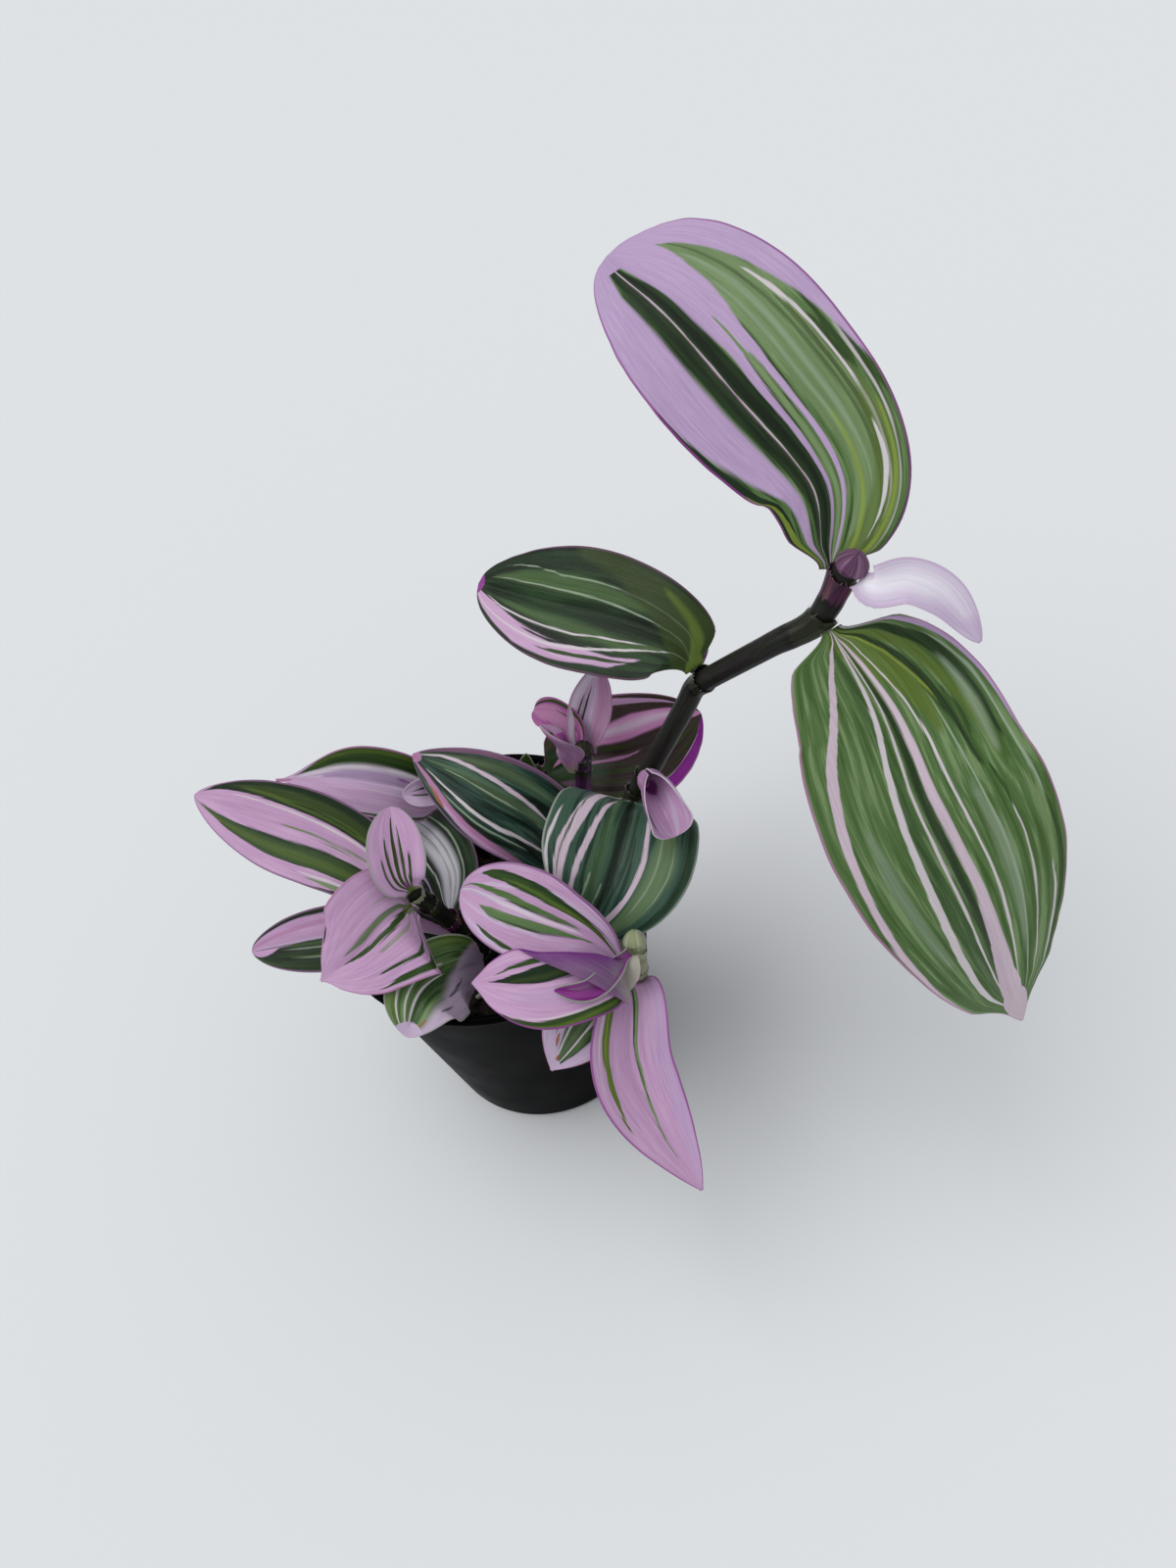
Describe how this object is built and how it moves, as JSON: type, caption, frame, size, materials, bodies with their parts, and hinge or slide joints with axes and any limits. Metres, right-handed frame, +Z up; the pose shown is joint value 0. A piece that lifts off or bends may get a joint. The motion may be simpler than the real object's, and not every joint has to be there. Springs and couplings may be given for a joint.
{
  "type": "potted tradescantia",
  "caption": "Potted trailing houseplant with striped pink and green leaves on jointed shoots, in a plain round black nursery pot.",
  "frame": {"origin": "centre of the pot's flat base, on the surface it stands on", "axes": "+Z up along the pot's axis; -Y towards the side the picture was taken from; the long shoot leans to +X"},
  "size_m": [0.1829, 0.1509, 0.2214],
  "materials": {
    "pot_plastic": "moulded black plastic with a soft sheen",
    "potting_soil": "dark damp potting soil with white perlite grains",
    "stem": "dark olive succulent stem",
    "green_leaf": "soft satin leaf, grey-green with pale lavender stripes, purple underneath",
    "pale_leaf": "soft satin leaf, lavender with green stripes, purple underneath",
    "pink_leaf": "young pink leaf"
  },
  "bodies": {
    "root": {"pot": "pot_plastic", "soil": "potting_soil", "main_stem": "stem", "front_stem": "stem", "left_stem": "stem", "rear_left_stem": "stem", "small_stem": "stem", "back_stem": "stem", "leaf_main_crown": "green_leaf", "leaf_main_hanging": "green_leaf", "leaf_main_young": "pale_leaf", "leaf_main_side": "green_leaf", "leaf_main_round": "green_leaf", "leaf_main_curl": "pink_leaf", "leaf_main_dark": "green_leaf", "leaf_front_left": "pale_leaf", "leaf_front_rolled": "pale_leaf", "leaf_front_hanging": "pale_leaf", "leaf_front_under": "pale_leaf", "leaf_left_far": "green_leaf", "leaf_left_pale": "pale_leaf", "leaf_left_low": "green_leaf", "leaf_left_grey": "green_leaf", "leaf_left_rim": "green_leaf", "leaf_rear_left_long": "pale_leaf", "leaf_small_tall": "pink_leaf", "leaf_back_wide": "green_leaf", "leaf_back_tip": "green_leaf"}
  },
  "joints": []
}
